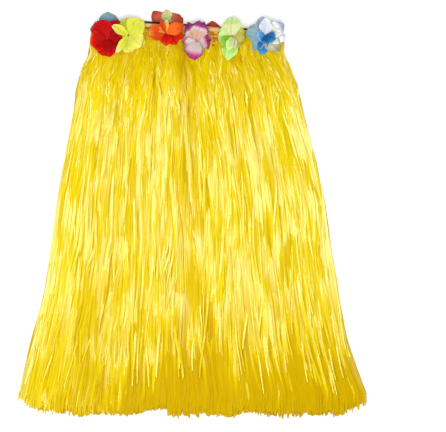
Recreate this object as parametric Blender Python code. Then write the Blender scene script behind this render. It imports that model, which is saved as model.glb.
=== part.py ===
"""Raffia hula skirt with silk flowers, laid flat on its back.

The waist points to +Y, the hem to -Y, +X is to the right and +Z is up, off the
surface. The origin is on that surface, under the middle of the skirt. Distances
down the skirt are called drops and are measured from the waist edge.
"""

import math
import random
from collections import namedtuple

import bmesh
import bpy

# Driving dimensions, in metres.
GAP = 0.0003  # left between pieces that touch
HEADER_HEIGHT = 0.034  # the stitched strip that holds the grass
HEADER_THICKNESS = 0.0047
HEADER_RIDGES = 4  # rows of stitching draw the header into this many ridges
RIDGE_DEPTH = 0.0006
WAIST_LEFT = -0.004  # drop of the waist edge at its left end
WAIST_RIGHT = 0.0235  # and at its right end: the waist lies askew
TAPE_THICKNESS = 0.0012
TAPE_HEIGHT = 0.028
TAPE_PROUD_BACK = 0.0045  # the back of the tape shows above the front header
TAPE_PROUD_FRONT = 0.0010
HEADER_PROUD_BACK = 0.0030
SIDE_THINNING = 0.62  # share of the thickness that the piles lose at their sides
GRASS_COLUMNS = 44
HEADER_COLUMNS = 16
HEADER_ROWS = 6
RIPPLE_COUNT = 9.5  # soft folds across the front, beside the deep ones
RIPPLE_DEPTH = 0.0011
RIPPLE_SWAY = 1.5  # how far the soft folds wander sideways, in radians of a fold
RIPPLE_SWAY_RATE = 7.0  # how fast they wander, in radians to the metre of drop
FOLD_FADE = 0.06  # run over which folds come out from the header and partings close
GROOVE_OPENING = 0.04  # run over which a parting opens
SIDE_SHARPNESS = 8  # the higher, the closer to the sides the thinning stays
HEM_SEED = 5
HEM_RAGGEDNESS = 0.0035
SHARP_EDGE = math.radians(40)
RAFFIA_ROUGHNESS = 0.4
WAISTBAND_ROUGHNESS = 0.6
SILK_ROUGHNESS = 0.7
PETALS = 5
PETAL_WALL = 0.0015
BACK_PETAL_WALL = 0.0018
NOTCH_REACH = 0.74  # how far out the notches between petals lie
LOBE_ROUNDNESS = 0.55  # the lower, the rounder a petal's end
STUB_REACH = 0.20  # the base that a flower stands on, as a share of its size
RING_REACH = 0.60
CUP_BEND = 1.6  # how late the petals of a front flower rise
FALL_BEND = 1.4  # how late the petals of a back flower fall
FRONT_SAMPLES = 6 * PETALS
BACK_SAMPLES = 4 * PETALS

Section = namedtuple("Section", "drop left right lift back front")
Groove = namedtuple("Groove", "across start end depth width")
HemPoint = namedtuple("HemPoint", "across drop")
Flower = namedtuple("Flower", "name across drop half_width half_height turn stand cup reach color")

# One row for each cross-section: where its sides are, how high the flowers
# underneath lift it, and how thick the back and the front piles are.
SECTIONS = (
    Section(0.034, -0.210, 0.185, 0.0083, 0.0062, 0.0062),
    Section(0.077, -0.221, 0.193, 0.0083, 0.0066, 0.0070),
    Section(0.118, -0.235, 0.213, 0.0045, 0.0082, 0.0098),
    Section(0.159, -0.241, 0.221, 0.0000, 0.0100, 0.0110),
    Section(0.261, -0.264, 0.251, 0.0000, 0.0095, 0.0105),
    Section(0.362, -0.282, 0.274, 0.0000, 0.0085, 0.0100),
    Section(0.464, -0.292, 0.286, 0.0000, 0.0075, 0.0090),
    Section(0.566, -0.312, 0.302, 0.0000, 0.0065, 0.0080),
    Section(0.668, -0.337, 0.323, 0.0000, 0.0055, 0.0068),
    Section(0.729, -0.351, 0.345, 0.0000, 0.0048, 0.0055),
    Section(0.790, -0.366, 0.369, 0.0000, 0.0035, 0.0038),
)

# Deep partings between bundles of grass on the front. Across runs from -1 at
# the left side to 1 at the right.
GROOVES = (
    Groove(-0.62, 0.07, 0.34, 0.0020, 0.035),
    Groove(-0.27, 0.06, 0.28, 0.0026, 0.035),
    Groove(0.02, 0.05, 0.42, 0.0042, 0.045),
    Groove(0.30, 0.10, 0.56, 0.0026, 0.035),
    Groove(0.52, 0.05, 0.30, 0.0024, 0.035),
    Groove(-0.14, 0.60, 0.82, 0.0018, 0.035),
    Groove(0.33, 0.66, 0.82, 0.0018, 0.035),
)

HEM = (
    HemPoint(-1.00, 0.772),
    HemPoint(-0.91, 0.784),
    HemPoint(-0.70, 0.791),
    HemPoint(-0.32, 0.795),
    HemPoint(-0.19, 0.788),
    HemPoint(-0.14, 0.778),
    HemPoint(-0.08, 0.793),
    HemPoint(0.16, 0.798),
    HemPoint(0.21, 0.803),
    HemPoint(0.25, 0.790),
    HemPoint(0.37, 0.787),
    HemPoint(0.44, 0.796),
    HemPoint(0.83, 0.794),
    HemPoint(0.94, 0.780),
    HemPoint(1.00, 0.772),
)

# Each petal's share of the flower's full size.
EVEN = (1, 1, 1, 1, 1)
UNEVEN = (1, 1, 0.98, 0.84, 1)
SHORT_END = (1, 1, 1, 1, 0.95)

# Flowers on the front, left to right. Across and drop are the middle of the
# flower, turn is the way its first petal points, stand is how far its petals
# start above the header, cup is how far they rise, and reach is each petal's
# share of the full size.
FRONT_FLOWERS = (
    Flower("flower_red", -0.173, 0.036, 0.0356, 0.0377, 59, 0.0035, 0.006, EVEN, (0.72, 0.01, 0.02)),
    Flower("flower_yellow", -0.127, 0.030, 0.0340, 0.0380, 152, 0.0125, 0.010, UNEVEN, (0.83, 0.83, 0.12)),
    Flower("flower_orange", -0.053, 0.024, 0.0385, 0.0290, 100, 0.0045, 0.012, SHORT_END, (0.88, 0.16, 0.03)),
    Flower("flower_purple", 0.008, 0.038, 0.0270, 0.0420, 130, 0.0055, 0.015, EVEN, (0.68, 0.38, 0.55)),
    Flower("flower_green", 0.080, 0.033, 0.0262, 0.0427, 90, 0.0045, 0.014, EVEN, (0.55, 0.80, 0.30)),
    Flower("flower_blue", 0.148, 0.031, 0.0385, 0.0415, 96, 0.0045, 0.014, EVEN, (0.35, 0.58, 0.78)),
)

# Flowers on the back, pressed flat under the header: their cup is how far the
# petals fall from the header to the surface.
BACK_FLOWERS = (
    Flower("back_flower_blue", -0.174, 0.016, 0.0366, 0.0366, 90, 0.0, 0.006, EVEN, (0.40, 0.60, 0.72)),
    Flower("back_flower_coral", -0.051, 0.010, 0.0366, 0.0366, 90, 0.0, 0.006, EVEN, (0.70, 0.20, 0.12)),
    Flower("back_flower_red", 0.040, 0.035, 0.0366, 0.0366, 90, 0.0, 0.006, EVEN, (0.62, 0.08, 0.05)),
    Flower("back_flower_maroon", 0.129, 0.041, 0.0366, 0.0366, 126, 0.0, 0.006, EVEN, (0.30, 0.02, 0.03)),
)

RAFFIA_COLOR = (0.88, 0.70, 0.06)
HEADER_COLOR = (0.80, 0.56, 0.08)
TAPE_COLOR = (0.06, 0.045, 0.02)


def clear_scene():
    for old in list(bpy.data.objects):
        bpy.data.objects.remove(old, do_unlink=True)


def finish(name, color, roughness):
    """A plain material of this sub-part's own."""
    material = bpy.data.materials.new(name)
    material.use_nodes = True
    shader = material.node_tree.nodes["Principled BSDF"]
    shader.inputs["Base Color"].default_value = (*color, 1.0)
    shader.inputs["Roughness"].default_value = roughness
    shader.inputs["Metallic"].default_value = 0.0
    return material


def between(table, key, column, at):
    """Reads a column of a table, in straight lines from row to row."""
    first, last = table[0], table[-1]
    if at <= getattr(first, key):
        return getattr(first, column)
    for low, high in zip(table, table[1:]):
        low_key, high_key = getattr(low, key), getattr(high, key)
        if at <= high_key:
            share = (at - low_key) / (high_key - low_key)
            return getattr(low, column) * (1 - share) + getattr(high, column) * share
    return getattr(last, column)


def smooth_step(value):
    value = min(1.0, max(0.0, value))
    return value * value * (3 - 2 * value)


def across_share(column, columns):
    """From -1 at the left side to 1 at the right."""
    return 2 * column / columns - 1


def header_drop(across, share):
    """Drop of a point on the header, from its top edge to its bottom edge."""
    edge = WAIST_LEFT + (WAIST_RIGHT - WAIST_LEFT) * (across + 1) / 2
    return edge + HEADER_HEIGHT * share


def place(across, drop, height):
    """World position of a point, from its share across, its drop and its height."""
    left = between(SECTIONS, "drop", "left", drop)
    right = between(SECTIONS, "drop", "right", drop)
    middle = (left + right) / 2
    half = (right - left) / 2
    return (middle + half * across, -drop, height)


def side_share(across):
    """The piles thin out towards the sides of the skirt."""
    return 1 - SIDE_THINNING * abs(across) ** SIDE_SHARPNESS


def inner_height(across, drop):
    """Height of the surface where the back and the front meet."""
    lift = between(SECTIONS, "drop", "lift", drop)
    return lift + between(SECTIONS, "drop", "back", drop) * side_share(across)


def fold_height(across, drop):
    """How far folds and partings move the top of the front pile."""
    sway = RIPPLE_SWAY * math.sin(RIPPLE_SWAY_RATE * drop)
    ripple = math.cos(math.pi * RIPPLE_COUNT * across + sway)
    height = RIPPLE_DEPTH * ripple * smooth_step((drop - HEADER_HEIGHT) / FOLD_FADE)
    for groove in GROOVES:
        opened = smooth_step((drop - groove.start) / GROOVE_OPENING)
        still_open = smooth_step((groove.end - drop) / FOLD_FADE)
        nearness = math.exp(-(((across - groove.across) / groove.width) ** 2))
        height -= groove.depth * opened * still_open * nearness
    return height * side_share(across)


def front_height(across, drop):
    front = between(SECTIONS, "drop", "front", drop) * side_share(across)
    return inner_height(across, drop) + GAP + front + fold_height(across, drop)


def grass_grid(height_at):
    """Rows of points down the skirt, from under the header to the ragged hem."""
    ends = random.Random(HEM_SEED)
    top = SECTIONS[0].drop
    long_end = SECTIONS[-1].drop
    hems = []
    for column in range(GRASS_COLUMNS + 1):
        across = across_share(column, GRASS_COLUMNS)
        hems.append(between(HEM, "across", "drop", across) + ends.uniform(-1, 1) * HEM_RAGGEDNESS)
    rows = []
    for section in SECTIONS:
        share = (section.drop - top) / (long_end - top)
        row = []
        for column, hem in enumerate(hems):
            across = across_share(column, GRASS_COLUMNS)
            start = header_drop(across, 1) + GAP
            drop = start + (hem - start) * share
            row.append(place(across, drop, height_at(across, drop)))
        rows.append(row)
    return rows


def waist_level(across):
    """Height of the middle of the waist, between the two halves of the tape."""
    waist = SECTIONS[0]
    return waist.lift + waist.back * side_share(across)


def header_top(across):
    """Height of the front header's ridges."""
    return waist_level(across) + 2 * GAP + TAPE_THICKNESS + HEADER_THICKNESS * side_share(across)


def raised(rows, by):
    return [[(x, y, z + by) for x, y, z in row] for row in rows]


def wall(name, lower, upper, material):
    """A closed sheet between two grids of points, with matching triangles."""
    bm = bmesh.new()
    under = [[bm.verts.new(point) for point in row] for row in lower]
    over = [[bm.verts.new(point) for point in row] for row in upper]
    last_row = len(under) - 1
    last_column = len(under[0]) - 1
    for r in range(last_row):
        for c in range(last_column):
            for grid in (under, over):
                bm.faces.new((grid[r][c], grid[r + 1][c], grid[r + 1][c + 1]))
                bm.faces.new((grid[r][c], grid[r + 1][c + 1], grid[r][c + 1]))
    rim = [(0, c) for c in range(last_column)]
    rim += [(r, last_column) for r in range(last_row)]
    rim += [(last_row, c) for c in range(last_column, 0, -1)]
    rim += [(r, 0) for r in range(last_row, 0, -1)]
    for (r, c), (next_r, next_c) in zip(rim, rim[1:] + rim[:1]):
        bm.faces.new((under[r][c], under[next_r][next_c], over[next_r][next_c], over[r][c]))
    return solid(name, bm, material)


def solid(name, bm, material):
    """Turns the faces outwards and makes the object."""
    bmesh.ops.recalc_face_normals(bm, faces=bm.faces)
    mesh = bpy.data.meshes.new(name)
    bm.to_mesh(mesh)
    bm.free()
    mesh.shade_smooth()
    mesh.set_sharp_from_angle(angle=SHARP_EDGE)
    mesh.materials.append(material)
    item = bpy.data.objects.new(name, mesh)
    bpy.context.scene.collection.objects.link(item)
    return item


def make_grass():
    """The two falls of raffia: the back one lies flat on the surface."""
    underside = grass_grid(lambda across, drop: between(SECTIONS, "drop", "lift", drop))
    inner = grass_grid(inner_height)
    outer = grass_grid(front_height)
    back_finish = finish("raffia_back", RAFFIA_COLOR, RAFFIA_ROUGHNESS)
    front_finish = finish("raffia_front", RAFFIA_COLOR, RAFFIA_ROUGHNESS)
    back = wall("grass_back", underside, inner, back_finish)
    front = wall("grass_front", raised(inner, GAP), outer, front_finish)
    return [back, front]


def strip_grid(rows, top_drop, bottom_drop, height_at):
    """Points of a strip that follows the tilted waist edge."""
    grid = []
    for row in range(rows + 1):
        share = row / rows
        line = []
        for column in range(HEADER_COLUMNS + 1):
            across = across_share(column, HEADER_COLUMNS)
            drop = header_drop(across, 0) + top_drop + (bottom_drop - top_drop) * share
            line.append(place(across, drop, height_at(across, share)))
        grid.append(line)
    return grid


def ridge_height(across, share):
    """Stitching pulls the header in between its ridges."""
    return RIDGE_DEPTH * (abs(math.sin(math.pi * HEADER_RIDGES * share)) - 1) * side_share(across)


def make_waistband():
    """Header, tape, tape and header, one on the other at the waist."""
    underside = SECTIONS[0].lift

    def header_surface(across, share):
        return header_top(across) + ridge_height(across, share)

    def level(offset):
        return lambda across, share: waist_level(across) + offset

    tape_bottom = level(-TAPE_THICKNESS)
    tape_top = level(GAP + TAPE_THICKNESS)
    under_back_tape = level(-TAPE_THICKNESS - GAP)
    over_front_tape = level(TAPE_THICKNESS + 2 * GAP)
    layers = (
        ("elastic_back", TAPE_COLOR, 1, -TAPE_PROUD_BACK, TAPE_HEIGHT, tape_bottom, level(0)),
        ("elastic_front", TAPE_COLOR, 1, -TAPE_PROUD_FRONT, TAPE_HEIGHT, level(GAP), tape_top),
        (
            "header_back",
            HEADER_COLOR,
            HEADER_ROWS,
            -HEADER_PROUD_BACK,
            HEADER_HEIGHT,
            lambda across, share: underside,
            under_back_tape,
        ),
        ("header_front", HEADER_COLOR, HEADER_ROWS, 0.0, HEADER_HEIGHT, over_front_tape, header_surface),
    )
    made = []
    for name, color, rows, top_drop, bottom_drop, low, high in layers:
        lower = strip_grid(rows, top_drop, bottom_drop, low)
        upper = strip_grid(rows, top_drop, bottom_drop, high)
        made.append(wall(name, lower, upper, finish(name, color, WAISTBAND_ROUGHNESS)))
    return made


def petal_reach(flower, angle):
    """How far out the edge of the flower lies in this direction, as a share."""
    turned = (angle - math.radians(flower.turn)) / (2 * math.pi / PETALS)
    nearest = round(turned)
    lobe = abs(math.cos(math.pi * (turned - nearest))) ** LOBE_ROUNDNESS
    return NOTCH_REACH + (flower.reach[nearest % PETALS] - NOTCH_REACH) * lobe


def petal_ring(bm, flower, share, height, samples):
    """One ring of points round the flower, at a share of its outline."""
    ring = []
    for step in range(samples):
        angle = math.radians(flower.turn) + 2 * math.pi * step / samples
        reach = petal_reach(flower, angle) if share > STUB_REACH else 1.0
        x = flower.across + flower.half_width * reach * share * math.cos(angle)
        y = -flower.drop + flower.half_height * reach * share * math.sin(angle)
        ring.append(bm.verts.new((x, y, height)))
    return ring


def join_rings(bm, rings):
    for low, high in zip(rings, rings[1:]):
        for step, vert in enumerate(low):
            following = (step + 1) % len(low)
            bm.faces.new((vert, low[following], high[following], high[step]))


def make_flower(flower, base, samples, rings):
    """A dish of five petals on a round base, from rings of share and height."""
    bm = bmesh.new()
    loops = [petal_ring(bm, flower, share, base + height, samples) for share, height in rings]
    join_rings(bm, loops)
    for loop, (share, height) in ((loops[0], rings[0]), (loops[-1], rings[-1])):
        middle = bm.verts.new((flower.across, -flower.drop, base + height))
        for step, vert in enumerate(loop):
            bm.faces.new((vert, loop[(step + 1) % samples], middle))
    return solid(flower.name, bm, finish(flower.name, flower.color, SILK_ROUGHNESS))


def front_rings(flower):
    """Base, underside, rim and upper side of a flower that opens upwards."""
    start = flower.stand

    def rise(share):
        return start + flower.cup * share**CUP_BEND

    return (
        (STUB_REACH, 0.0),
        (STUB_REACH, rise(STUB_REACH)),
        (RING_REACH, rise(RING_REACH)),
        (1.0, rise(1.0)),
        (1.0, rise(1.0) + PETAL_WALL),
        (RING_REACH, rise(RING_REACH) + PETAL_WALL),
        (STUB_REACH, rise(STUB_REACH) + PETAL_WALL),
    )


def back_rings(flower):
    """A flower pressed between the header and the surface."""
    top = flower.cup + BACK_PETAL_WALL

    def fall(share):
        return flower.cup * max(0.0, 1 - (share / RING_REACH) ** FALL_BEND)

    return (
        (STUB_REACH, top),
        (RING_REACH, fall(RING_REACH) + BACK_PETAL_WALL),
        (1.0, BACK_PETAL_WALL),
        (1.0, 0.0),
        (RING_REACH, 0.0),
        (STUB_REACH, 0.0),
    )


def base_height(flower):
    """Just clear of the header, at the side of the base that is nearer the middle."""
    waist = SECTIONS[0]
    middle = (waist.left + waist.right) / 2
    inner_edge = max(0.0, abs(flower.across - middle) - STUB_REACH * flower.half_width)
    return header_top(inner_edge / ((waist.right - waist.left) / 2)) + GAP


def make_flowers():
    front = [make_flower(f, base_height(f), FRONT_SAMPLES, front_rings(f)) for f in FRONT_FLOWERS]
    back = [make_flower(f, 0.0, BACK_SAMPLES, back_rings(f)) for f in BACK_FLOWERS]
    return front + back


def centre_over_origin(items):
    """Moves the whole skirt so that the origin is under the middle of it."""
    points = [vertex.co for item in items for vertex in item.data.vertices]
    shift_x = -(min(p.x for p in points) + max(p.x for p in points)) / 2
    shift_y = -(min(p.y for p in points) + max(p.y for p in points)) / 2
    for item in items:
        item.location = (shift_x, shift_y, 0.0)


def main():
    clear_scene()
    items = make_grass() + make_waistband() + make_flowers()
    centre_over_origin(items)


main()
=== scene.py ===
# %% [markdown]
# # A yellow raffia hula skirt, laid flat
# The skirt is a ring of synthetic raffia strands sewn under a gathered header, with a dark
# elastic tape inside the waist and silk flowers sewn on. The imported model is the fixed frame:
# it holds the real sizes and places, and every piece below is laid on it. This first cell
# loads it, and reads the box of each of its parts.

# %% Load the frame and keep its box
import math
from collections import namedtuple

import bpy
import numpy as np
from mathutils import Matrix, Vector
from mathutils.bvhtree import BVHTree


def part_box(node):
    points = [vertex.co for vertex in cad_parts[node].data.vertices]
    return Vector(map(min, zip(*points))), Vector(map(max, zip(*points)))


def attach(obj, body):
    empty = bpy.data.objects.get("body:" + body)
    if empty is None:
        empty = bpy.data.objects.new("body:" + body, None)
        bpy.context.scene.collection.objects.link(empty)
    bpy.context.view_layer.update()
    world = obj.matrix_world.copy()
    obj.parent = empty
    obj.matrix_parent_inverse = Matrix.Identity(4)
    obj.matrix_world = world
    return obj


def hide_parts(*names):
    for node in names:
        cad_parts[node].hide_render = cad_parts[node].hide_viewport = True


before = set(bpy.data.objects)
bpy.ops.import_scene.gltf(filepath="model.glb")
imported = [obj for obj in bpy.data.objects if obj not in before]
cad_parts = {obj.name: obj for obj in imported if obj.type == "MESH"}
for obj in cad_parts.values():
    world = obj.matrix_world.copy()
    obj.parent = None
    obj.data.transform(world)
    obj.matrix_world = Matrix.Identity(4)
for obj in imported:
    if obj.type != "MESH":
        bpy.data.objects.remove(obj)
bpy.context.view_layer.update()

BODY = "root"

# %% [markdown]
# ## Camera
# A skirt laid on a table is looked at from straight above. A long lens from high up keeps
# the sides of the flowers from leaning outwards, as a short lens close by would do. The
# width of the view is chosen, and the focal length follows from it.

# %% Camera
CAMERA_HEIGHT = 4.0
VIEW_WIDTH = 0.908
VIEW_CENTRE = (0.0625, -0.0080)


def add_object(name, data):
    """An object in the scene, made of its mesh, lamp or camera."""
    thing = bpy.data.objects.new(name, data)
    bpy.context.scene.collection.objects.link(thing)
    return thing


camera_data = bpy.data.cameras.new("overhead_camera")
camera_data.sensor_width = 36
camera_data.lens = camera_data.sensor_width * CAMERA_HEIGHT / VIEW_WIDTH
camera = add_object("overhead_camera", camera_data)
camera.location = (*VIEW_CENTRE, CAMERA_HEIGHT)
bpy.context.scene.camera = camera
print("lens", round(camera_data.lens, 1), "mm")

# %% [markdown]
# ## Floor and light
# The floor is a plain near-white sheet. A bright surround fills the hollows: it comes mostly
# from the sides, and it is dimmed where gloss would mirror it, so that the film keeps its
# colour. A wide soft box over the skirt gives the film its long pale glints, and a small one
# lights the left of the hem. The plain "Standard" view keeps the yellow as clear as it is,
# where a filmic one would grey it.

# %% Small helpers for materials
def colour(hexcode):
    """A colour written as RRGGBB, turned into the linear values that shaders take."""
    parts = [int(hexcode[place:place + 2], 16) / 255 for place in (0, 2, 4)]
    linear = [part / 12.92 if part <= 0.04045 else ((part + 0.055) / 1.055) ** 2.4
              for part in parts]
    return (*linear, 1.0)


def new_material(name):
    """An empty material with its Principled shader."""
    material = bpy.data.materials.new(name)
    material.use_nodes = True
    return material, material.node_tree, material.node_tree.nodes["Principled BSDF"]


def connect(tree, node, inputs):
    """Sets each input of a node to a value, or links it to a socket."""
    for name, value in dict(inputs).items():
        if isinstance(value, bpy.types.NodeSocket):
            tree.links.new(value, node.inputs[name])
        else:
            node.inputs[name].default_value = value


def add_node(tree, kind, inputs=(), **settings):
    """A node of a kind, with its settings and its inputs."""
    node = tree.nodes.new(kind)
    for setting, value in settings.items():
        setattr(node, setting, value)
    connect(tree, node, inputs)
    return node


def ramp(tree, factor, stops):
    """A colour ramp: stops are (place, colour code)."""
    node = add_node(tree, "ShaderNodeValToRGB", {"Fac": factor})
    elements = node.color_ramp.elements
    while len(elements) < len(stops):
        elements.new(0.5)
    for element, (place, code) in zip(elements, stops):
        element.position = place
        element.color = colour(code)
    return node.outputs["Color"]


def mix(tree, factor, first, second, blend="MIX"):
    """Mixes two colours."""
    inputs = {0: factor, 6: first, 7: second}
    return add_node(tree, "ShaderNodeMix", inputs, data_type="RGBA", blend_type=blend).outputs[2]


def calculate(tree, operation, first, second=0.0, third=0.0, clamp=False):
    """One sum on values. Only MULTIPLY_ADD uses the third: first times second, plus third."""
    inputs = {0: first, 1: second, 2: third}
    return add_node(tree, "ShaderNodeMath", inputs, operation=operation, use_clamp=clamp).outputs[0]


def times(tree, first, second):
    """One value times another."""
    return calculate(tree, "MULTIPLY", first, second)


def noise(tree, x=0.0, y=0.0, z=0.0, detail=2.0):
    """Soft noise at the place that three values give."""
    place = add_node(tree, "ShaderNodeCombineXYZ", {"X": x, "Y": y, "Z": z}).outputs[0]
    inputs = {"Vector": place, "Scale": 1.0, "Detail": detail}
    return add_node(tree, "ShaderNodeTexNoise", inputs).outputs["Fac"]


def bump(tree, height, strength, distance):
    """The normal of a surface with a fine relief."""
    inputs = {"Height": height, "Strength": strength, "Distance": distance}
    return add_node(tree, "ShaderNodeBump", inputs).outputs["Normal"]


def attribute(tree, name):
    """The value that a mesh carries at each point under a name."""
    return add_node(tree, "ShaderNodeAttribute", attribute_name=name).outputs["Fac"]


# %% The floor
FLOOR_SIZE = 14.0
FLOOR_GAP = 0.0003

floor_mesh = bpy.data.meshes.new("studio_floor")
half = FLOOR_SIZE / 2
floor_corners = [(-half, -half, 0), (half, -half, 0), (half, half, 0), (-half, half, 0)]
floor_mesh.from_pydata(floor_corners, [], [(0, 1, 2, 3)])
floor = add_object("studio_floor", floor_mesh)
floor.location.z = -FLOOR_GAP
floor_paint, tree, shader = new_material("floor_paint")
mottle = add_node(tree, "ShaderNodeTexNoise", {"Scale": 3.0, "Detail": 2.0})
shade = ramp(tree, mottle.outputs["Fac"], [(0.3, "F7F7F6"), (0.7, "FAFAF9")])
connect(tree, shader, {"Base Color": shade, "Roughness": 0.9, "Specular IOR Level": 0.1,
                       "Emission Color": (1.0, 1.0, 1.0, 1.0), "Emission Strength": 0.25})
floor_mesh.materials.append(floor_paint)
print("floor", FLOOR_SIZE, "m square")

# %% The surround
SURROUND_ABOVE, SURROUND_WALLS = 0.05, 0.77
SURROUND_IN_GLOSS = 0.08

world = bpy.data.worlds.new("studio_surround")
world.use_nodes = True
surround = world.node_tree
direction = add_node(surround, "ShaderNodeTexCoord").outputs["Generated"]
upward_part = add_node(surround, "ShaderNodeSeparateXYZ", {0: direction}).outputs["Z"]
walls = calculate(surround, "SUBTRACT", 1.0, times(surround, upward_part, upward_part))
strength = calculate(surround, "MULTIPLY_ADD", walls, SURROUND_WALLS, SURROUND_ABOVE)
in_gloss = add_node(surround, "ShaderNodeLightPath").outputs["Is Glossy Ray"]
kept = calculate(surround, "SUBTRACT", 1.0, times(surround, in_gloss, 1 - SURROUND_IN_GLOSS))
connect(surround, surround.nodes["Background"],
        {"Strength": times(surround, strength, kept), "Color": (1.0, 1.0, 1.0, 1.0)})
bpy.context.scene.world = world
bpy.context.scene.view_settings.view_transform = "Standard"
print("surround", SURROUND_ABOVE, "above and", SURROUND_ABOVE + SURROUND_WALLS, "at the walls")

# %% The soft boxes
# name, place, point aimed at, width and height in metres, power in watts
SOFT_BOXES = [
    ("soft_box_over_skirt", (0.02, -0.01, 1.3), (0.02, -0.01, 0.0), 0.84, 0.64, 16.3),
    ("soft_box_left_hem", (-0.50, -0.50, 1.3), (-0.34, -0.30, 0.0), 0.22, 0.30, 4.0),
]
for name, place, target, width, height, power in SOFT_BOXES:
    lamp = bpy.data.lights.new(name, "AREA")
    lamp.shape = "RECTANGLE"
    lamp.size = width
    lamp.size_y = height
    lamp.energy = power
    box = add_object(name, lamp)
    box.location = place
    box.rotation_euler = (Vector(target) - Vector(place)).to_track_quat("-Z", "Y").to_euler()
    box.visible_camera = False
print("soft boxes:", len(SOFT_BOXES))

# %% [markdown]
# ## Reading the form off the frame
# The strands have to lie where the two grass walls of the frame are. Two measurements say
# all of it: where each wall ends to the left, right, top and bottom, and how high its under
# and upper faces are. The first comes from the wall's edges that cross a straight line, the
# second from rays shot up and down at a grid of places.

# %% Measure a solid of the frame
def edge_ends(node):
    """The two ends of every edge of a node."""
    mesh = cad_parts[node].data
    points = np.array([vertex.co for vertex in mesh.vertices])
    pairs = np.array([edge.vertices for edge in mesh.edges])
    return points[pairs[:, 0]], points[pairs[:, 1]]


def crossings(edges, axis, line):
    """Where edges cross a line: the least and greatest place along the other axis."""
    start, end = edges
    across = (start[:, axis] - line) * (end[:, axis] - line) < 0
    start, end = start[across], end[across]
    part = (line - start[:, axis]) / (end[:, axis] - start[:, axis])
    other = start[:, 1 - axis] + part * (end[:, 1 - axis] - start[:, 1 - axis])
    return other.min(), other.max()


def rays_at(node):
    """A node made ready for rays."""
    return BVHTree.FromObject(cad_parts[node], bpy.context.evaluated_depsgraph_get())


def face_height(rays, x, y, side):
    """The height of a node's upper face (side 1) or under face (side -1) at a place."""
    hit = rays.ray_cast(Vector((x, y, side)), Vector((0, 0, -side)))[0]
    return np.nan if hit is None else hit.z


# %% Measure the grass walls
OUTERMOST_SHARE = 0.985
SHARES = np.linspace(-OUTERMOST_SHARE, OUTERMOST_SHARE, 67)
TOP_LEVEL, BOTTOM_LEVEL = 0.318, -0.385
LEVELS = np.linspace(TOP_LEVEL, BOTTOM_LEVEL, 90)
TOP_INSET = 0.001
HEM_INSET, HEM_SAMPLES = 0.004, 121


class GrassWall:
    """One wall of the skirt: its outline, and the heights of its two faces."""

    def __init__(self, node):
        edges = edge_ends(node)
        self.sides = np.array([crossings(edges, 1, level) for level in LEVELS])
        rays = rays_at(node)
        self.under, self.upper = [
            np.array([[face_height(rays, self.place(share, level), level, side) for share in SHARES]
                      for level in LEVELS]) for side in (-1, 1)]
        low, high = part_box(node)
        places = np.clip(self.place(SHARES, LEVELS[0]), low.x + TOP_INSET, high.x - TOP_INSET)
        self.top = np.array([crossings(edges, 0, place)[1] for place in places])
        self.hem_places = np.linspace(low.x + HEM_INSET, high.x - HEM_INSET, HEM_SAMPLES)
        self.hem = np.array([crossings(edges, 0, place)[0] for place in self.hem_places])

    def place(self, share, level):
        """The place across, in metres, of a share from -1 at the left side to 1 at the right."""
        left = np.interp(-level, -LEVELS, self.sides[:, 0])
        right = np.interp(-level, -LEVELS, self.sides[:, 1])
        return left + (right - left) * (share + 1) / 2

    def height(self, share, level, depth):
        """The height at a share and a level: depth is 0 at the under face and 1 at the upper."""
        column = np.interp(share, SHARES, np.arange(len(SHARES)))
        row = np.interp(-level, -LEVELS, np.arange(len(LEVELS)))
        column_0 = np.minimum(column.astype(int), len(SHARES) - 2)
        row_0 = np.minimum(row.astype(int), len(LEVELS) - 2)
        part_across, part_down = column - column_0, row - row_0
        faces = []
        for face in (self.under, self.upper):
            above, below = [face[line, column_0] * (1 - part_across)
                            + face[line, column_0 + 1] * part_across for line in (row_0, row_0 + 1)]
            faces.append(above * (1 - part_down) + below * part_down)
        return faces[0] + (faces[1] - faces[0]) * depth


front_wall = GrassWall("grass_front")
back_wall = GrassWall("grass_back")
for wall in (front_wall, back_wall):
    missed = int(np.isnan(wall.under).sum() + np.isnan(wall.upper).sum())
    lowest, highest = float(np.nanmin(wall.under)), float(np.nanmax(wall.upper))
    print("missed rays", missed, "heights from", round(lowest, 4), "to", round(highest, 4))

# %% [markdown]
# ## The raffia film
# Each strand is a flat film of coloured plastic, a few millimetres wide, that was stretched
# and crimped when it was cut. It is glossy, and fine lines run along it. One bright plastic
# shader would look the same from top to hem. Here each strand carries its own tint, and three
# finishes share the same lines: a glossy one for the outer strands, a duller one for those
# beneath, whose darker tints are painted shade, and a nearly matt one for the crimped roots
# and the cut ends. Painted shade also deepens the film to gold towards the hem, at the waist
# under the flowers and in the middle parting, and painted light makes it paler at the sides.
# The lines are a group, because the header is made of the same film.

# %% Film lines: a shared group
def new_group(name, inputs, outputs):
    """A shader node group of values: its inputs with their first values, and its outputs."""
    group = bpy.data.node_groups.new(name, "ShaderNodeTree")
    for socket, value in inputs.items():
        entry = group.interface.new_socket(socket, in_out="INPUT", socket_type="NodeSocketFloat")
        entry.default_value = value
    for socket in outputs:
        group.interface.new_socket(socket, in_out="OUTPUT", socket_type="NodeSocketFloat")
    return group, group.nodes.new("NodeGroupInput").outputs, group.nodes.new("NodeGroupOutput")


def mesh_places(tree, layer):
    """The two coordinates of each point in a layer of places that the mesh carries."""
    places = add_node(tree, "ShaderNodeUVMap", uv_map=layer).outputs["UV"]
    parts = add_node(tree, "ShaderNodeSeparateXYZ", {0: places}).outputs
    return parts["X"], parts["Y"]


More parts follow.
